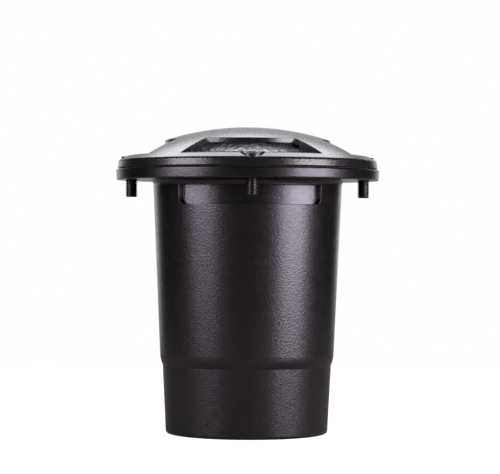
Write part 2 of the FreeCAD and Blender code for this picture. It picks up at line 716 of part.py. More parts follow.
def make_lens():
    body = new_body("glass_lens")
    rise = crown_top - lens_rim_top
    outer_curve = (crown_foot * crown_foot + rise * rise) / (rise * 2)
    hollow_foot = crown_foot - d.lens_foot_width
    hollow_rise = crown_top - d.lens_thickness - lens_bottom
    inner_curve = (hollow_foot * hollow_foot + hollow_rise * hollow_rise) / (hollow_rise * 2)
    inner_flat = cap_level(crown_top - d.lens_thickness, inner_curve, d.crown_flat)
    outer_flat = cap_level(crown_top, outer_curve, d.crown_flat)
    revolve(body, [
        (0, inner_flat),
        (d.crown_flat, inner_flat, inner_curve, -1),
        (hollow_foot, lens_bottom),
        (lens_radius, lens_bottom),
        (lens_radius, lens_rim_top),
        (crown_foot, lens_rim_top, outer_curve, 1),
        (d.crown_flat, outer_flat),
        (0, outer_flat),
    ])


# ---------------------------------------------------------------- cover

def make_cover():
    body = new_body("top_cover")
    edge = d.edge_round
    side_top = cover_radius - d.cover_draft
    dome_rise = d.cover_height - d.cover_edge_height
    curve = (side_top * side_top + dome_rise * dome_rise) / (dome_rise * 2)
    inside = curve - d.dome_shell
    slope_sine = side_top / curve
    slope_cosine = root(as_size(1) - slope_sine * slope_sine)
    shoulder = side_top - d.rim_round * (as_size(1) - slope_sine)
    shoulder_level = cap_level(cover_top, curve, shoulder)
    outer_flat = cap_level(cover_top, curve, d.crown_flat)
    inner_flat = cap_level(inside_top, inside, d.crown_flat)
    recess = lens_radius + d.seal_recess_gap
    revolve(body, [
        (0, inner_flat),
        (d.crown_flat, inner_flat, inside, -1),
        (cover_bore_radius, cap_level(inside_top, inside, cover_bore_radius)),
        (cover_bore_radius, seal_level),
        (recess, seal_level),
        (recess, cover_bottom),
        (cover_radius - edge, cover_bottom, edge, 1),
        (cover_radius, cover_bottom + edge),
        (side_top, shoulder_level - d.rim_round * slope_cosine, d.rim_round, 1),
        (shoulder, shoulder_level, curve, 1),
        (d.crown_flat, outer_flat),
        (0, outer_flat),
    ])

    sill_end = side_top - d.sill_edge_distance
    windows = make_window_cutter(sill_end, cap_level(cover_top, curve, sill_end))
    cut = body.newObject("PartDesign::Boolean", "windows")
    cut.setObjects([windows])
    cut.Type = "Cut"

    places = around(as_size(0), -screw_circle_radius, SCREW_COUNT)
    deep = [(x, y, washer_radius + d.counterbore_gap) for x, y in places]
    pocket(body, circles_sketch(body, "XY_Plane", head_seat, deep), d.cover_height)
    through = [(x, y, d.screw_radius + d.screw_clearance) for x, y in places]
    pocket(body, circles_sketch(body, "XY_Plane", cover_bottom, through), d.cover_height)


def make_window_cutter(sill_end, sill_end_level):
    """The space that the four windows take out of the dome: a ring cut to four wedges."""
    body = doc.addObject("PartDesign::Body", "window_cutter")
    body.Label = "window_cutter"
    body.AllowCompound = True
    sill = cover_bottom + d.sill_height
    drop = sill - sill_end_level
    hood_radius = cover_bore_radius - d.hood_step
    sill_radius = cover_bore_radius + d.sill_width
    run = sill_end - sill_radius
    fall_curve = (run * run + drop * drop) / (drop * 2)
    outside = cover_radius + FAR_OUT
    above = cover_top + FAR_OUT
    revolve(body, [
        (hood_radius, sill),
        (sill_radius, sill, fall_curve, -1),
        (sill_end, sill_end_level),
        (outside, above),
        (hood_radius, above),
    ])
    legs = [leg_outline(outside + FAR_OUT, step) for step in range(WINDOW_COUNT)]
    keep = outline_sketch(body, "XY_Plane", cover_bottom, *legs)
    pocket(body, keep, d.cover_height + FAR_OUT * 2)
    return body


def leg_outline(far, step):
    """Plan of the leg between two windows, along their side walls from near the axis."""
    near = d.cheek_start * 2
    slope = sine(d.cheek_splay) / cosine(d.cheek_splay)
    near_side = (near - d.cheek_start) * slope
    far_side = (far - d.cheek_start) * slope
    plan = [(near_side, -near), (far_side, -far), (far, -far), (far, -far_side),
            (near, -near_side)]
    return [turned(x, y, step, WINDOW_COUNT) for x, y in plan]


# ---------------------------------------------------------------- cover screws

def make_cover_screws():
    body = new_body("cover_screws")
    x = screw_circle_radius
    crest = x + d.screw_radius
    valley = crest - d.screw_thread_depth
    top = screw_seat + d.screw_head_height
    edge = d.edge_round
    corners = [(x, screw_tip), (valley, screw_tip)]
    for turn in range(THREAD_TURNS):
        start = screw_tip + d.screw_pitch * (turn + FLANK_SHARE)
        corners.append((crest, start))
        corners.append((crest, start + d.screw_pitch * CREST_SHARE))
        corners.append((valley, start + d.screw_pitch * (CREST_SHARE + FLANK_SHARE)))
        if turn < THREAD_TURNS - 1:
            corners.append((valley, start + d.screw_pitch * (1.0 - FLANK_SHARE)))
    thread_end = screw_tip + d.screw_pitch * (THREAD_TURNS + FLANK_SHARE)
    corners += [
        (crest, thread_end),
        (crest, screw_seat),
        (x + d.screw_head_radius, screw_seat),
        (x + d.screw_head_radius, top - edge),
        (x + d.screw_head_radius - edge, top),
        (x, top),
    ]
    shaft = revolve(body, corners, axis_at=x)
    key = outline_sketch(body, "XY_Plane", top - d.screw_socket_depth,
                         hexagon(x, as_size(0), d.screw_socket_radius))
    key_cut = pocket(body, key, d.screw_socket_depth + OVERRUN)
    repeat(body, [shaft, key_cut], SCREW_COUNT)

    washers = new_body("cover_screw_washers")
    inner = d.screw_radius + d.screw_clearance / 2
    circles = []
    for place_x, place_y in around(x, as_size(0), SCREW_COUNT):
        circles.append((place_x, place_y, washer_radius))
        circles.append((place_x, place_y, inner))
    pad(washers, circles_sketch(washers, "XY_Plane", head_seat, circles), d.washer_thickness)


# ---------------------------------------------------------------- strap and swivel

def make_strap():
    body = new_body("cross_strap")
    half = d.strap_width / 2
    end = root(strap_half_length * strap_half_length - half * half)
    sketch = outline_sketch(body, "XY_Plane", strap_bottom, [
        (-end, -half),
        (end, -half, strap_half_length, 1),
        (end, half),
        (-end, half, strap_half_length, 1),
    ])
    clear = d.strap_screw_radius + d.screw_clearance / 2
    draw_circle(sketch, 0, 0, d.swivel_radius + d.running_clearance)
    draw_circle(sketch, strap_screw_x, 0, clear)
    draw_circle(sketch, -strap_screw_x, 0, clear)
    pad(body, sketch, d.strap_thickness)
    upright_screw("strap_screws", strap_screw_x, strap_bottom - d.strap_screw_grip, strap_top,
                  d.strap_screw_radius, d.small_head_radius, d.small_head_height, 2)


def make_swivel():
    washer_bottom = strap_bottom - d.spring_washer_thickness
    nut_bottom = washer_bottom - d.nut_height
    clear = d.swivel_radius + d.thread_clearance
    flat_ring("swivel_washer", clear, d.swivel_washer_radius, strap_top,
              d.swivel_washer_thickness)
    flat_ring("spring_washer", clear, d.spring_washer_radius, washer_bottom,
              d.spring_washer_thickness)
    upright_screw("swivel_screw", as_size(0), nut_bottom - d.swivel_tail, yoke_floor,
                  d.swivel_radius, d.swivel_head_radius, d.swivel_head_height, 1)
    nut = new_body("swivel_nut")
    corner = d.nut_flat_width / math.sqrt(3.0)
    sketch = outline_sketch(nut, "XY_Plane", nut_bottom,
                            hexagon(as_size(0), as_size(0), corner))
    draw_circle(sketch, 0, 0, clear)
    pad(nut, sketch, d.nut_height)


def make_yoke():
    body = new_body("yoke")
    inner = d.yoke_bend
    outer = inner + d.yoke_thickness
    top = tilt_height + d.yoke_arm_top
    sketch = outline_sketch(body, "XZ_Plane", None, [
        (-arm_outer + outer, yoke_bottom),
        (arm_outer - outer, yoke_bottom, outer, 1),
        (arm_outer, yoke_bottom + outer),
        (arm_outer, top),
        (arm_inner, top),
        (arm_inner, yoke_floor + inner, inner, -1),
        (arm_inner - inner, yoke_floor),
        (-arm_inner + inner, yoke_floor, inner, -1),
        (-arm_inner, yoke_floor + inner),
        (-arm_inner, top),
        (-arm_outer, top),
        (-arm_outer, yoke_bottom + outer, outer, 1),
    ])
    blank = pad(body, sketch, d.yoke_width, midplane=True)

    def is_arm_corner(edge):
        ends = [vertex.Point for vertex in edge.Vertexes]
        at_top = all(abs(point.z - top.number) < SAME for point in ends)
        return at_top and abs(edge.Length - d.yoke_thickness.number) < SAME

    fillet(body, blank, d.yoke_arm_round, is_arm_corner)
    centre = [(0, 0, d.swivel_radius + d.thread_clearance)]
    base_hole = circles_sketch(body, "XY_Plane", yoke_bottom, centre)
    pocket(body, base_hole, d.yoke_thickness)
    pivot = [(0, tilt_height, d.pivot_radius + d.running_clearance)]
    pivot_hole = circles_sketch(body, "YZ_Plane", None, pivot)
    pocket(body, pivot_hole, (arm_outer + OVERRUN) * 2, midplane=True)


# ---------------------------------------------------------------- lamp ring and its pivots

def make_lamp_ring():
    body = new_body("lamp_ring")
    height = d.ring_below + d.ring_above
    disc = circles_sketch(body, "XY_Plane", ring_bottom, [(0, 0, ring_radius)])
    pad(body, disc, height)
    trunnions = circles_sketch(body, "YZ_Plane", None, [(0, tilt_height, d.trunnion_radius)])
    trunnion_end = ring_radius + d.trunnion_length
    pad(body, trunnions, trunnion_end * 2, midplane=True)
    above = ring_bottom + height + FAR_OUT
    below = ring_bottom - FAR_OUT
    revolve(body, [
        (0, below),
        (ring_lip_bore, below),
        (ring_lip_bore, lamp_rim_bottom),
        (ring_bore, lamp_rim_bottom),
        (ring_bore, above),
        (0, above),
    ], cut=True)
    hole = d.pivot_radius + d.thread_clearance
    pivot = circles_sketch(body, "YZ_Plane", None, [(0, tilt_height, hole)])
    pocket(body, pivot, (trunnion_end + OVERRUN) * 2, midplane=True)
    hole = d.bracket_screw_radius + d.thread_clearance
    places = [(0, bracket_screw_circle, hole), (0, -bracket_screw_circle, hole)]
    feet = circles_sketch(body, "XY_Plane", ring_bottom, places)
    pocket(body, feet, d.bracket_screw_grip + d.tap_run_out)


def make_pivots():
    screws = new_body("pivot_screws")
    tip = ring_bore + d.pivot_tip_gap
    seat = arm_outer + d.pivot_washer_thickness
    end = seat + d.small_head_height
    edge = d.small_head_height * HEAD_BEVEL_SHARE
    level = tilt_height
    head = d.small_head_radius
    turned = revolve(screws, [
        (tip, level),
        (seat, level),
        (end, level),
        (end, level + head - edge),
        (end - edge, level + head),
        (seat, level + head),
        (seat, level + d.pivot_radius),
        (tip, level + d.pivot_radius),
    ], axis="H_Axis", axis_at=level)
    half = d.small_slot_width / 2
    slot_end = head + OVERRUN
    slot = rectangle(-slot_end, level - half, slot_end, level + half)
    sketch = outline_sketch(screws, "YZ_Plane", end - d.small_slot_depth, slot)
    slot_cut = pocket(screws, sketch, d.small_slot_depth + OVERRUN)
    repeat(screws, [turned, slot_cut], 2)

    washers = new_body("pivot_washers")
    inner = d.pivot_radius + d.thread_clearance
    ring = [(0, level, d.pivot_washer_radius), (0, level, inner)]
    sketch = circles_sketch(washers, "YZ_Plane", arm_outer, ring)
    repeat(washers, [pad(washers, sketch, d.pivot_washer_thickness)], 2)


# ---------------------------------------------------------------- lamp

def make_lamp():
    reflector = new_body("lamp_reflector")
    glass_radius = d.lamp_radius - d.lamp_wall
    glass_bottom = lamp_front - d.front_glass_thickness
    opening = glass_radius - d.front_glass_ledge
    inner_bottom = dish_bottom + d.lamp_wall
    revolve(reflector, [
        (d.lamp_neck_bore, dish_bottom),
        (d.lamp_neck_radius, dish_bottom, d.lamp_dish_curve, 1),
        (d.lamp_radius - d.lamp_rim_step, lamp_rim_bottom),
        (d.lamp_radius, lamp_rim_bottom),
        (d.lamp_radius, lamp_front),
        (glass_radius, lamp_front),
        (glass_radius, glass_bottom),
        (opening, glass_bottom, d.lamp_dish_curve - d.lamp_wall, -1),
        (d.lamp_neck_radius - d.lamp_wall, inner_bottom),
        (d.lamp_neck_bore, inner_bottom),
    ])

    glass = new_body("lamp_front_glass")
    pane = [(0, 0, glass_radius - d.thread_clearance)]
    pad(glass, circles_sketch(glass, "XY_Plane", glass_bottom, pane), d.front_glass_thickness)

    base = new_body("lamp_base")
    half_width = d.lamp_base_width / 2
    half_depth = d.lamp_base_depth / 2
    block = rectangle(-half_width, -half_depth, half_width, half_depth)
    pad(base, outline_sketch(base, "XY_Plane", lamp_base_bottom, block), d.lamp_base_length)
    neck = [(0, 0, d.lamp_neck_bore - d.thread_clearance)]
    neck_sketch = circles_sketch(base, "XY_Plane", lamp_base_bottom, neck)
    pad(base, neck_sketch, capsule_level - lamp_base_bottom)

    capsule = new_body("lamp_capsule")
    capsule_top = capsule_level + d.capsule_height
    capsule_flat = cap_level(capsule_top, d.capsule_radius, d.crown_flat)
    revolve(capsule, [
        (0, capsule_level),
        (d.capsule_radius, capsule_level),
        (d.capsule_radius, capsule_top - d.capsule_radius, d.capsule_radius, 1),
        (d.crown_flat, capsule_flat),
        (0, capsule_flat),
    ])

    pins = new_body("lamp_pins")
    places = [(d.pin_spacing / 2, 0, d.pin_radius), (-d.pin_spacing / 2, 0, d.pin_radius)]
    pin_bottom = lamp_base_bottom - d.pin_length
    pad(pins, circles_sketch(pins, "XY_Plane", pin_bottom, places), d.pin_length)


def make_retaining_ring():
    ring = doc.addObject("Part::Torus", "retaining_ring")
    ring.Label = "retaining_ring"
    bind(ring, "Radius1", ring_bore - d.clip_wire_radius - d.clip_gap)
    bind(ring, "Radius2", d.clip_wire_radius)
    bind(ring, "Placement.Base.z", lamp_front + d.clip_wire_radius)
    subparts.append(ring)


def make_socket():
    body = new_body("lamp_socket")
    half_width = d.socket_width / 2
    half_depth = d.socket_depth / 2
    block = rectangle(-half_width, -half_depth, half_width, half_depth)
    pad(body, outline_sketch(body, "XY_Plane", socket_bottom, block), d.socket_height)
    hole = d.pin_radius + d.thread_clearance
    places = [(d.pin_spacing / 2, 0, hole), (-d.pin_spacing / 2, 0, hole)]
    pin_holes = circles_sketch(body, "XY_Plane", lamp_base_bottom, places)
    pocket(body, pin_holes, d.pin_length, upward=False)
    hole = d.bracket_screw_radius + d.thread_clearance
    screw_hole = circles_sketch(body, "XY_Plane", socket_bottom, [(0, 0, hole)])
    pocket(body, screw_hole, d.bracket_screw_grip + d.tap_run_out)


def make_bracket():
    body = new_body("socket_bracket")
    sheet_thickness = d.bracket_thickness
    foot_bottom = ring_bottom - sheet_thickness
    plate_bottom = socket_bottom - sheet_thickness
    inner = bracket_screw_circle - d.bracket_foot_inward
    outer = bracket_screw_circle + d.bracket_foot_outward
    half = d.bracket_half_length
    right = [
        (half + sheet_thickness, plate_bottom),
        (inner + sheet_thickness, foot_bottom),
        (outer, foot_bottom),
        (outer, ring_bottom),
        (inner, ring_bottom),
        (half, socket_bottom),
    ]
    left = [(-x, z) for x, z in reversed(right)]
    blank = outline_sketch(body, "YZ_Plane", None, right + left)
    pad(body, blank, d.bracket_width, midplane=True)
    clear = d.bracket_screw_radius + d.thread_clearance
    places = [(0, bracket_screw_circle, clear), (0, -bracket_screw_circle, clear)]
    pocket(body, circles_sketch(body, "XY_Plane", foot_bottom, places), sheet_thickness)
    middle = circles_sketch(body, "XY_Plane", plate_bottom, [(0, 0, clear)])
    pocket(body, middle, sheet_thickness)
    hanging_screws("bracket_screws", foot_bottom, ring_bottom, bracket_screw_circle, 2)
    hanging_screws("socket_screw", plate_bottom, socket_bottom, as_size(0), 1)


def hanging_screws(label, seat, thread_start, y, count):
    """Small screws that point up, with their heads under a sheet."""
    body = new_body(label)
    head_height = d.bracket_screw_rise
    shank_length = thread_start + d.bracket_screw_grip - seat
    places = [y] if count == 1 else [y, -y]
    heads = [(0, place, d.bracket_screw_head) for place in places]
    shanks = [(0, place, d.bracket_screw_radius) for place in places]
    pad(body, circles_sketch(body, "XY_Plane", seat - head_height, heads), head_height)
    pad(body, circles_sketch(body, "XY_Plane", seat, shanks), shank_length)


# ---------------------------------------------------------------- wiring pieces on the floor

def make_terminal_block():
    body = new_body("terminal_block")
    x = -d.block_centre
    half_width = d.block_width / 2
    half_length = d.block_length / 2
    floor = d.floor_thickness
    block = rectangle(x - half_width, -half_length, x + half_width, half_length)
    pad(body, outline_sketch(body, "XY_Plane", floor, block), d.block_height)
    half_spacing = d.terminal_spacing / 2
    well = d.terminal_radius + d.thread_clearance
    wells = [(x, half_spacing, well), (x, -half_spacing, well)]
    depth = d.terminal_recess + d.terminal_screw_length
    pocket(body, circles_sketch(body, "XY_Plane", block_top, wells), depth, upward=False)
    head = d.block_screw_head + d.screw_clearance
    sink = circles_sketch(body, "XY_Plane", block_top, [(x, 0, head)])
    pocket(body, sink, d.block_screw_recess, upward=False)
    through = circles_sketch(body, "XY_Plane", floor,
                             [(x, 0, d.block_screw_radius + d.screw_clearance / 2)])
    pocket(body, through, d.block_height)
    level = floor + d.terminal_wire_height
    wires = [(half_spacing, level, d.terminal_wire_radius)]
    wires.append((-half_spacing, level, d.terminal_wire_radius))
    wire_holes = circles_sketch(body, "YZ_Plane", x, wires)
    pocket(body, wire_holes, d.block_width + OVERRUN * 2, midplane=True)

    screws = new_body("terminal_screws")
    places = [(x, half_spacing, d.terminal_radius), (x, -half_spacing, d.terminal_radius)]
    tops = block_top - d.terminal_recess
    bottoms = tops - d.terminal_screw_length
    sketch = circles_sketch(screws, "XY_Plane", bottoms, places)
    pad(screws, sketch, d.terminal_screw_length)
    slot_end = d.terminal_radius + OVERRUN
    half = d.terminal_slot_width / 2
    slots = []
    for _, y, _ in places:
        slots.append(rectangle(x - slot_end, y - half, x + slot_end, y + half))
    slot_sketch = outline_sketch(screws, "XY_Plane", tops, *slots)
    pocket(screws, slot_sketch, d.terminal_slot_depth, upward=False)

    fixing = new_body("block_screw")
    seat = block_top - d.block_screw_recess
    tip = floor - d.block_screw_grip
    top = seat + d.block_screw_rise
    edge = d.block_screw_edge
    revolve(fixing, [
        (x, tip),
        (x + d.block_screw_radius, tip),
        (x + d.block_screw_radius, seat),
        (x + d.block_screw_head, seat),
        (x + d.block_screw_head, top - edge),
        (x + d.block_screw_head - edge, top),
        (x, top),
    ], axis_at=x)


def make_ground_screw():
    body = new_body("ground_screw")
    seat = d.floor_thickness + d.ground_boss_height
    y = d.ground_offset
    corner = d.ground_head_flats / math.sqrt(3.0)
    head = outline_sketch(body, "XY_Plane", seat, hexagon(as_size(0), y, corner))
    pad(body, head, d.ground_head_height)
    shank = [(0, y, d.ground_screw_radius)]
    bottom = seat - d.ground_screw_grip
    pad(body, circles_sketch(body, "XY_Plane", bottom, shank), d.ground_screw_grip)


# ---------------------------------------------------------------- build, check and write

def check_document():
    """Stop if any object failed, or a sub-part has no sound shape."""
    for item in doc.Objects:
        if "Invalid" in item.State or "Error" in item.State:
            raise RuntimeError("%s is in state %s" % (item.Label, item.State))
    for item in subparts:
        if item.Shape.isNull() or not item.Shape.isValid() or not item.Shape.Solids:
            raise RuntimeError("%s has no sound shape" % item.Label)


def write_parts():
    os.makedirs("parts", exist_ok=True)
    for item in subparts:
        item.Shape.exportStep("parts/%s.step" % item.Label)
        print("%-22s %3d solids %12.1f mm3" % (item.Label, len(item.Shape.Solids),
                                              item.Shape.Volume))


make_housing()
make_gaskets()
make_lens()
make_cover()
make_cover_screws()
make_strap()
make_swivel()
make_yoke()
make_lamp_ring()
make_pivots()
make_lamp()
make_retaining_ring()
make_socket()
make_bracket()
make_terminal_block()
make_ground_screw()
doc.recompute()
check_document()
write_parts()
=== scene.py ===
import bpy
import bmesh
import math
from mathutils import Matrix, Vector


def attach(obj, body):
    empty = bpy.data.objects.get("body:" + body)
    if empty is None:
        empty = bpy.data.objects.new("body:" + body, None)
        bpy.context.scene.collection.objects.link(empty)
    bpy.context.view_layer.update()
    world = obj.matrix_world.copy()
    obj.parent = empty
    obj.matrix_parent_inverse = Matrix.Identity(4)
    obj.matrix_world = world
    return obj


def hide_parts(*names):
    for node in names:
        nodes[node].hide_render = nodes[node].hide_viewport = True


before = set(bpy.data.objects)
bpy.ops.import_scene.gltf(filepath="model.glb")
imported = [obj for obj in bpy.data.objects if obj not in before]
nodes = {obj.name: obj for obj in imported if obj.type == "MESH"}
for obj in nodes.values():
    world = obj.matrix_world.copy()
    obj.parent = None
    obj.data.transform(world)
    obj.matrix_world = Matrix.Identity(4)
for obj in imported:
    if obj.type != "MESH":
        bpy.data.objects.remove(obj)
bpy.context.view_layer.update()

MM = 0.001
WHITE = (1.0, 1.0, 1.0)


# ---------------------------------------------------------------- camera

# Fitted to the object's outline in the photograph. Lengths are in metres.
IMAGE_WIDTH = 500
FOCAL_PIXELS = 2170.4
SENSOR_WIDTH = 36.0  # millimetres
CAMERA_DISTANCE = 1.4186
CAMERA_ASIDE = 0.00170
CAMERA_HEIGHT = 0.13148
CAMERA_YAW = math.radians(-2.2)
CAMERA_PITCH = math.radians(0.143)
CAMERA_ROLL = math.radians(0.275)
CLIP_NEAR = 0.05
CLIP_FAR = 50.0


def make_camera():
    """The photograph's camera, turned about the object instead of turning the object."""
    data = bpy.data.cameras.new("camera")
    data.sensor_fit = "HORIZONTAL"
    data.sensor_width = SENSOR_WIDTH
    data.lens = SENSOR_WIDTH * FOCAL_PIXELS / IMAGE_WIDTH
    data.clip_start = CLIP_NEAR
    data.clip_end = CLIP_FAR
    camera = bpy.data.objects.new("camera", data)
    bpy.context.scene.collection.objects.link(camera)
    turn = Matrix.Rotation(CAMERA_YAW, 4, "Z")
    place = Matrix.Translation((CAMERA_ASIDE, -CAMERA_DISTANCE, CAMERA_HEIGHT))
    aim = Matrix.Rotation(math.pi / 2 - CAMERA_PITCH, 4, "X")
    roll = Matrix.Rotation(CAMERA_ROLL, 4, "Z")
    camera.matrix_world = turn @ place @ aim @ roll
    bpy.context.scene.camera = camera


# ---------------------------------------------------------------- nodes

def opaque(color):
    return tuple(color) + (1.0,)


def set_inputs(tree, node, inputs):
    """Set a node's inputs, by name or number. An output is linked, and the rest are values."""
    for key, value in inputs.items():
        if isinstance(value, bpy.types.NodeSocket):
            tree.links.new(value, node.inputs[key])
        else:
            node.inputs[key].default_value = value


def add_node(tree, kind, inputs=None):
    node = tree.nodes.new("ShaderNode" + kind)
    set_inputs(tree, node, inputs or {})
    return node


# ---------------------------------------------------------------- stage and light

# Strengths of the world's light, and the direction's Y where the wall starts and is brightest.
ROOM_FILL = 0.045
WALL_FRONT = 0.01
WALL_BACK = 0.75
WALL_EDGE = 0.7
WALL_MIDDLE = 1.0

FLOOR_COLOR = (0.46, 0.43, 0.38)
FLOOR_LIFT = 0.92
FLOOR_HALF = 0.7
PANEL_TINT = (0.93, 0.93, 1.0)


def background(tree, strength):
    node = add_node(tree, "Background", {"Color": opaque(WHITE), "Strength": strength})
    return node.outputs[0]


def make_world():
    """White to the camera, straight or through glass. Other light is a faint even room.

    Reflections see a wall instead: bright behind the object, where the direction's Y nears 1,
    and dark in front.
    """
    world = bpy.data.worlds.new("studio")
    bpy.context.scene.world = world
    world.use_nodes = True
    tree = world.node_tree
    tree.nodes.clear()
    direction = add_node(tree, "TexCoord").outputs["Generated"]
    axes = add_node(tree, "SeparateXYZ", {0: direction})
    fall = add_node(tree, "MapRange", {
        "Value": axes.outputs["Y"],
        "From Min": WALL_EDGE,
        "From Max": WALL_MIDDLE,
        "To Min": WALL_FRONT,
        "To Max": WALL_BACK,
    })
    fall.interpolation_type = "SMOOTHSTEP"
    path = add_node(tree, "LightPath")
    reflected = add_node(tree, "MixShader", {
        "Fac": path.outputs["Is Glossy Ray"],
        1: background(tree, ROOM_FILL),
        2: background(tree, fall.outputs["Result"]),
    })
    straight = add_node(tree, "Math", {
        0: path.outputs["Is Camera Ray"],
        1: path.outputs["Is Transmission Ray"],
    })
    straight.operation = "MAXIMUM"
    mix = add_node(tree, "MixShader", {
        "Fac": straight.outputs[0],
        1: reflected.outputs[0],
        2: background(tree, 1.0),
    })
    add_node(tree, "OutputWorld", {"Surface": mix.outputs[0]})


def floor_material(name):
    """A pale floor, lifted to white for the camera, that still shows the object's shadow."""
    material = bpy.data.materials.new(name)
    material.use_nodes = True
    tree = material.node_tree
    tree.nodes.clear()
    surface = add_node(tree, "BsdfDiffuse", {"Color": opaque(FLOOR_COLOR)})
    path = add_node(tree, "LightPath")
    lift = add_node(tree, "Math", {0: path.outputs["Is Camera Ray"], 1: FLOOR_LIFT})
    lift.operation = "MULTIPLY"
    glow = add_node(tree, "Emission", {"Strength": lift.outputs[0]})
    both = add_node(tree, "AddShader", {0: surface.outputs[0], 1: glow.outputs[0]})
    add_node(tree, "OutputMaterial", {"Surface": both.outputs[0]})
    return material


def make_floor():
    half = FLOOR_HALF
    corners = [(-half, -half, 0), (half, -half, 0), (half, half, 0), (-half, half, 0)]
    mesh = bpy.data.meshes.new("floor")
    mesh.from_pydata(corners, [], [(0, 1, 2, 3)])
    mesh.materials.append(floor_material("floor_white"))
    piece = bpy.data.objects.new("floor", mesh)
    bpy.context.scene.collection.objects.link(piece)
    return piece


def area_lamp(name, width, height, radiance, tint=WHITE):
    """A rectangular lamp whose face has this radiance."""
    data = bpy.data.lights.new(name, "AREA")
    data.shape = "RECTANGLE"
    data.size = width
    data.size_y = height
    data.energy = radiance * math.pi * width * height
    data.color = tint
    lamp = bpy.data.objects.new(name, data)
    bpy.context.scene.collection.objects.link(lamp)
    return lamp


def softbox(name, azimuth, distance, low, high, width, radiance):
    """An upright softbox facing the object's axis, from height low to height high.

    Azimuth 0 is in front of the object, towards the camera, and 90 to its right.
    """
    lamp = area_lamp(name, width, high - low, radiance)
    turn = math.radians(azimuth)
    across = distance * math.sin(turn)
    ahead = -distance * math.cos(turn)
    lamp.location = (across, ahead, (low + high) / 2)
    lamp.rotation_euler = (math.pi / 2, 0.0, turn)
    return lamp


def overhead(name, place, aim, width, height, radiance, tint):
    """A flat panel above the object, facing the point aimed at."""
    lamp = area_lamp(name, width, height, radiance, tint)
    lamp.location = place
    view = Vector(aim) - Vector(place)
    lamp.rotation_euler = view.to_track_quat("-Z", "Y").to_euler()
    return lamp


def limit_light(lamp, surface, state):
    """EXCLUDE: the lamp doesn't light this surface. INCLUDE: it lights nothing else."""
    receivers = bpy.data.collections.new(lamp.name + "_receivers")
    receivers.objects.link(surface)
    receivers.collection_objects[0].light_linking.link_state = state
    lamp.light_linking.receiver_collection = receivers


def make_lights(floor):
    """Two softboxes make the bands on the barrel, and a panel behind makes the dome's sheen.

    The lens sits deep under the cover, so three softboxes in front light only the lens. The
    panel doesn't light the floor. Two weak strips light the back.
    """
    softbox("right_softbox", azimuth=55.5, distance=1.2, low=0.03, high=0.65, width=0.75,
            radiance=17.5)
    softbox("left_softbox", azimuth=-57, distance=1.2, low=0.12, high=0.68, width=0.7,
            radiance=11.3)
    for name, azimuth, radiance in (("lens_left", -52, 5.0),
                                    ("lens_front", -2, 30.0),
                                    ("lens_right", 52, 12.0)):
        lens_light = softbox(name, azimuth, distance=1.3, low=0.1, high=0.7, width=1.0,
                             radiance=radiance)
        limit_light(lens_light, nodes["glass_lens"], "INCLUDE")
    for name, azimuth in (("rear_right_strip", 156), ("rear_left_strip", -156)):
        softbox(name, azimuth, distance=1.3, low=0.05, high=0.6, width=0.3, radiance=0.8)
    panel = overhead("back_panel", place=(0, 0.85, 1.2), aim=(0, 0, 0.18), width=1.0,
                     height=0.8, radiance=5.4, tint=PANEL_TINT)
    limit_light(panel, floor, "EXCLUDE")


# ---------------------------------------------------------------- materials

# A noise texture's values lie mostly between these two.
NOISE_LOW = 0.3
NOISE_HIGH = 0.7

# How far roughness goes below and above what a material is given.
COAT_VARIATION = (-0.02, 0.03)
SURFACE_VARIATION = (-0.05, 0.08)
GLASS_VARIATION = (0.0, 0.03)

# Powder coat. Faces that look up or down keep only LEVEL_GRAIN of the grain.
EDGE_SOFTNESS = 0.7 * MM
EDGE_SAMPLES = 6
GRAIN_RUN = (0.8, 0.8, 1.2)
CAST_COARSENESS = 0.25
CAST_SHARE = 0.15
PATCH_SCALE = 30.0
PATCH_DARK = 0.8
PATCH_LIGHT = 1.25
LEVEL_GRAIN = 0.04
UPRIGHT_BELOW = 0.3
LEVEL_ABOVE = 0.8

# Metal, and the speckle of rubber, plastic and ceramic.
METAL_DARK = 0.82
METAL_LINES = (1.0, 1.0, 12.0)
METAL_BUMP = 0.4
METAL_DEPTH = 0.05 * MM
SPECKLE_DARK = 0.85
SPECKLE_SCALE = 500.0
SPECKLE_BUMP = 0.3
SPECKLE_DEPTH = 0.1 * MM

GLASS_IOR = 1.5
GLASS_SMEAR_SCALE = 300.0
SWIRL_COARSENESS = 0.8
SWIRL_LOW = 0.35
SWIRL_HIGH = 0.65


def new_material(name):
    """A material, its tree, its shader, and the place on the surface in the object's metres."""
    material = bpy.data.materials.new(name)
    material.use_nodes = True
    tree = material.node_tree
    shader = tree.nodes["Principled BSDF"]
    place = add_node(tree, "TexCoord")
    return material, tree, shader, place.outputs["Object"]


def noise(tree, place, scale, detail=3.0, roughness=0.5, stretch=None, swirls=0.0):
    if stretch is not None:
        mapping = add_node(tree, "Mapping", {"Vector": place, "Scale": stretch})
        place = mapping.outputs["Vector"]
    texture = add_node(tree, "TexNoise", {
        "Vector": place,
        "Scale": scale,
        "Detail": detail,
        "Roughness": roughness,
        "Distortion": swirls,
    })
    return texture.outputs["Fac"]


def ramp(tree, value, low_color, high_color, low=NOISE_LOW, high=NOISE_HIGH):
    node = add_node(tree, "ValToRGB", {"Fac": value})
    ends = node.color_ramp.elements
    ends[0].position = low
    ends[1].position = high
    ends[0].color = opaque(low_color)
    ends[1].color = opaque(high_color)
    return node.outputs["Color"]


def spread(tree, value, low, high, start=NOISE_LOW, end=NOISE_HIGH):
    """Turn a value that runs from start to end into one that runs from low to high."""
    node = add_node(tree, "MapRange", {
        "Value": value,
        "From Min": start,
        "From Max": end,
        "To Min": low,
        "To Max": high,
    })
    return node.outputs["Result"]


def uneven(tree, value, roughness, variation):
    return spread(tree, value, roughness + variation[0], roughness + variation[1])


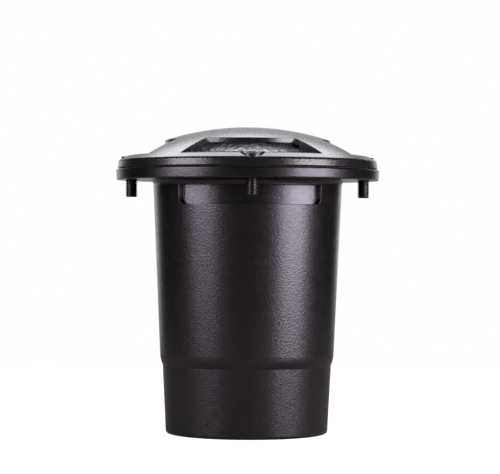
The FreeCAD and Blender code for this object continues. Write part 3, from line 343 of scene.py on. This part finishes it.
def add_bump(tree, height, strength, distance, normal=None):
    """A bump on top of a normal, or on the plain surface."""
    node = add_node(tree, "Bump", {
        "Strength": strength,
        "Distance": distance,
        "Height": height,
    })
    if normal is not None:
        set_inputs(tree, node, {"Normal": normal})
    return node.outputs["Normal"]


def by_slope(tree, upright, level):
    """One value on upright surfaces, another on those that face up or down."""
    geometry = add_node(tree, "NewGeometry")
    axes = add_node(tree, "SeparateXYZ", {0: geometry.outputs["Normal"]})
    slope = add_node(tree, "Math", {0: axes.outputs["Z"]})
    slope.operation = "ABSOLUTE"
    return spread(tree, slope.outputs[0], upright, level, UPRIGHT_BELOW, LEVEL_ABOVE)


def powder_coat(name, roughness, tone, gloss, grain, depth):
    """Black powder coat: orange peel over the slightly uneven cast surface, edges softened.

    Tone is the colour, gloss the tint of what it reflects, grain the fineness of the peel in
    features per metre, and depth its height in metres. Level faces are smoother.
    """
    material, tree, shader, place = new_material(name)
    peel = noise(tree, place, grain, detail=2.0, stretch=GRAIN_RUN)
    cast = noise(tree, place, grain * CAST_COARSENESS, stretch=GRAIN_RUN)
    patch = noise(tree, place, PATCH_SCALE)
    dark = [channel * PATCH_DARK for channel in tone]
    light = [channel * PATCH_LIGHT for channel in tone]
    edge = add_node(tree, "Bevel", {"Radius": EDGE_SOFTNESS})
    edge.samples = EDGE_SAMPLES
    normal = edge.outputs["Normal"]
    for height, share in ((cast, CAST_SHARE), (peel, 1.0)):
        strength = by_slope(tree, share, share * LEVEL_GRAIN)
        normal = add_bump(tree, height, strength, depth, normal)
    set_inputs(tree, shader, {
        "Base Color": ramp(tree, patch, dark, light),
        "Roughness": uneven(tree, cast, roughness, COAT_VARIATION),
        "Specular Tint": opaque(gloss),
        "Normal": normal,
    })
    return material


def metal(name, color, roughness, grain=700.0, stretch=METAL_LINES, metallic=1.0):
    """Metal with fine lines, which run across the axis with the largest number in stretch."""
    material, tree, shader, place = new_material(name)
    lines = noise(tree, place, grain, detail=2.0, roughness=0.6, stretch=stretch)
    dark = [channel * METAL_DARK for channel in color]
    set_inputs(tree, shader, {
        "Metallic": metallic,
        "Base Color": ramp(tree, lines, dark, color),
        "Roughness": uneven(tree, lines, roughness, SURFACE_VARIATION),
        "Normal": add_bump(tree, lines, METAL_BUMP, METAL_DEPTH),
    })
    return material


def plain(name, color, roughness):
    """Rubber, plastic or ceramic: a faint speckle in colour, gloss and height."""
    material, tree, shader, place = new_material(name)
    speckle = noise(tree, place, SPECKLE_SCALE, detail=4.0, roughness=0.6)
    dark = [channel * SPECKLE_DARK for channel in color]
    set_inputs(tree, shader, {
        "Base Color": ramp(tree, speckle, dark, color),
        "Roughness": uneven(tree, speckle, roughness, SURFACE_VARIATION),
        "Normal": add_bump(tree, speckle, SPECKLE_BUMP, SPECKLE_DEPTH),
    })
    return material


def glass(name, roughness, wave_scale, wave_depth, clear=1.0, dull=WHITE, bright=WHITE):
    """Glass with waves. Where clear is under 1 the rest is haze, dull to bright in swirls."""
    material, tree, shader, place = new_material(name)
    swirl = noise(tree, place, wave_scale * SWIRL_COARSENESS, roughness=0.6, swirls=3.0)
    smear = noise(tree, place, GLASS_SMEAR_SCALE)
    waves = noise(tree, place, wave_scale, detail=2.0, swirls=2.0)
    set_inputs(tree, shader, {
        "Base Color": ramp(tree, swirl, dull, bright, SWIRL_LOW, SWIRL_HIGH),
        "Transmission Weight": clear,
        "IOR": GLASS_IOR,
        "Roughness": uneven(tree, smear, roughness, GLASS_VARIATION),
        "Normal": add_bump(tree, waves, 1.0, wave_depth),
    })
    return material


def finish_nodes(material, *names):
    for name in names:
        piece = nodes[name]
        piece.data.materials.clear()
        piece.data.materials.append(material)


# ---------------------------------------------------------------- cover screws

SCREW_CIRCLE = 75.8 * MM
SCREW_COUNT = 4
SCREW_TIP = 153.7 * MM
SCREW_SEAT = 175.7 * MM
SCREW_TOP = 180.1 * MM
CREST_RADIUS = 3.97 * MM
THREAD_DEPTH = 0.75 * MM
THREAD_PITCH = 1.41 * MM
THREAD_LENGTH = 11.7 * MM
TIP_CHAMFER = 0.9 * MM
HEAD_RADIUS = 6.7 * MM
HEAD_ROUND = 0.6 * MM
HEAD_CORNER = HEAD_ROUND * 0.3
SOCKET_RADIUS = 3.1 * MM
SOCKET_MOUTH = SOCKET_RADIUS * 1.15
SOCKET_BEVEL = 0.25 * MM
SOCKET_DEPTH = 2.6 * MM
SCREW_SIDES = 48
THREAD_STEP = 0.1 * MM
SHARP_ANGLE = math.radians(35.0)

# Where, in one turn of the thread, its root, its rising flank and its crest end.
ROOT_END = 0.25
RISE_END = 0.55
CREST_END = 0.70


def thread_radius(height, turn):
    """Radius of the helical thread at a height above the tip, turn from 0 to 1 around it."""
    phase = (height / THREAD_PITCH - turn) % 1.0
    if phase < ROOT_END:
        share = 0.0
    elif phase < RISE_END:
        share = (phase - ROOT_END) / (RISE_END - ROOT_END)
    elif phase < CREST_END:
        share = 1.0
    else:
        share = 1.0 - (phase - CREST_END) / (1.0 - CREST_END)
    radius = CREST_RADIUS - THREAD_DEPTH * (1.0 - share)
    lead_in = CREST_RADIUS - TIP_CHAMFER + height
    fade = max(0.0, (height - THREAD_LENGTH + THREAD_PITCH) / THREAD_PITCH)
    radius += (CREST_RADIUS - radius) * min(1.0, fade)
    return min(radius, lead_in)


def ring_of_points(mesh, center, height, radius_at):
    points = []
    for side in range(SCREW_SIDES):
        turn = side / SCREW_SIDES
        angle = turn * 2.0 * math.pi
        radius = radius_at(turn)
        across = center[0] + radius * math.cos(angle)
        along = center[1] + radius * math.sin(angle)
        points.append(mesh.verts.new((across, along, height)))
    return points


def join_rings(mesh, lower, upper):
    for side in range(SCREW_SIDES):
        ahead = (side + 1) % SCREW_SIDES
        mesh.faces.new((lower[side], lower[ahead], upper[ahead], upper[side]))


def hexagon_radius(turn):
    """Distance from the middle of the socket to its side."""
    sixth = (turn * 6.0) % 1.0
    angle = (sixth - 0.5) * math.pi / 3.0
    return SOCKET_RADIUS * math.cos(math.pi / 6.0) / math.cos(angle)


def add_screw(mesh, center):
    """A socket head screw with a real helical thread, pointing down."""
    rows = int(round(THREAD_LENGTH / THREAD_STEP))
    rings = []
    for row in range(rows + 1):
        height = row * THREAD_STEP
        rings.append(ring_of_points(mesh, center, SCREW_TIP + height,
                                    lambda turn, h=height: thread_radius(h, turn)))
    profile = [
        (SCREW_SEAT, CREST_RADIUS),
        (SCREW_SEAT, HEAD_RADIUS - HEAD_CORNER),
        (SCREW_SEAT + HEAD_CORNER, HEAD_RADIUS),
        (SCREW_TOP - HEAD_ROUND, HEAD_RADIUS),
        (SCREW_TOP - HEAD_CORNER, HEAD_RADIUS - HEAD_CORNER),
        (SCREW_TOP, HEAD_RADIUS - HEAD_ROUND),
        (SCREW_TOP, SOCKET_MOUTH),
    ]
    for height, radius in profile:
        rings.append(ring_of_points(mesh, center, height, lambda turn, r=radius: r))
    for depth in (SOCKET_BEVEL, SOCKET_DEPTH):
        rings.append(ring_of_points(mesh, center, SCREW_TOP - depth, hexagon_radius))
    for lower, upper in zip(rings, rings[1:]):
        join_rings(mesh, lower, upper)
    mesh.faces.new(list(reversed(rings[0])))
    mesh.faces.new(rings[-1])


def make_cover_screws(material):
    mesh = bmesh.new()
    for number in range(SCREW_COUNT):
        angle = number * 2.0 * math.pi / SCREW_COUNT
        add_screw(mesh, (SCREW_CIRCLE * math.cos(angle), SCREW_CIRCLE * math.sin(angle)))
    data = bpy.data.meshes.new("cover_screw_threads")
    mesh.to_mesh(data)
    mesh.free()
    data.polygons.foreach_set("use_smooth", [True] * len(data.polygons))
    data.set_sharp_from_angle(angle=SHARP_ANGLE)
    data.materials.append(material)
    piece = bpy.data.objects.new("cover_screw_threads", data)
    bpy.context.scene.collection.objects.link(piece)
    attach(piece, "cover")
    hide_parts("cover_screws")


# ---------------------------------------------------------------- making

HOUSING_TONE = (0.0035, 0.0028, 0.003)
HOUSING_GLOSS = (0.92, 0.82, 1.0)
COVER_TONE = (0.007, 0.006, 0.0065)
COVER_GLOSS = (0.96, 0.93, 1.0)
HAZE_DULL = (0.3, 0.3, 0.32)
HAZE_BRIGHT = (0.95, 0.95, 1.0)

make_camera()
make_world()
make_lights(make_floor())

housing_coat = powder_coat("housing_coat", roughness=0.29, tone=HOUSING_TONE,
                           gloss=HOUSING_GLOSS, grain=900.0, depth=0.1 * MM)
finish_nodes(housing_coat, "housing")
cover_coat = powder_coat("cover_coat", roughness=0.26, tone=COVER_TONE,
                         gloss=COVER_GLOSS, grain=950.0, depth=0.09 * MM)
finish_nodes(cover_coat, "top_cover")
lens_glass = glass("lens_glass", roughness=0.06, wave_scale=130.0, wave_depth=2.2 * MM,
                   clear=0.45, dull=HAZE_DULL, bright=HAZE_BRIGHT)
finish_nodes(lens_glass, "glass_lens")

finish_nodes(plain("gasket_rubber", (0.015, 0.015, 0.015), 0.75), "cover_gasket")
finish_nodes(plain("lens_rubber", (0.12, 0.12, 0.125), 0.6), "lens_gasket", "lens_seal")

screw_steel = metal("screw_steel", (0.056, 0.051, 0.052), 0.35)
finish_nodes(screw_steel, "cover_screws", "cover_screw_washers")
make_cover_screws(screw_steel)

zinc_sheet = metal("zinc_steel", (0.62, 0.62, 0.6), 0.35, grain=400.0,
                   stretch=(12.0, 1.0, 1.0))
finish_nodes(zinc_sheet, "cross_strap", "yoke", "socket_bracket")
finish_nodes(metal("small_screws", (0.66, 0.66, 0.64), 0.28),
             "strap_screws", "swivel_washer", "swivel_screw", "swivel_nut", "pivot_screws",
             "pivot_washers", "bracket_screws", "socket_screw", "block_screw")
finish_nodes(metal("spring_steel", (0.5, 0.5, 0.5), 0.25),
             "spring_washer", "retaining_ring")

ring_metal = metal("ring_metal", (0.7, 0.7, 0.71), 0.45, grain=900.0, stretch=None)
finish_nodes(ring_metal, "lamp_ring")
mirror = metal("reflector_mirror", (0.86, 0.87, 0.9), 0.08, grain=200.0, stretch=None)
finish_nodes(mirror, "lamp_reflector")
lamp_glass = glass("lamp_glass", roughness=0.0, wave_scale=200.0, wave_depth=0.2 * MM)
finish_nodes(lamp_glass, "lamp_front_glass", "lamp_capsule")
finish_nodes(plain("ceramic", (0.8, 0.77, 0.7), 0.45), "lamp_base", "lamp_socket")
finish_nodes(metal("pin_metal", (0.7, 0.68, 0.62), 0.25), "lamp_pins")

finish_nodes(plain("terminal_plastic", (0.75, 0.74, 0.7), 0.5), "terminal_block")
finish_nodes(metal("terminal_brass", (0.75, 0.58, 0.28), 0.3), "terminal_screws")
green_metal = metal("ground_green", (0.05, 0.32, 0.12), 0.35, metallic=0.4)
finish_nodes(green_metal, "ground_screw")

bpy.context.scene.view_settings.view_transform = "Standard"
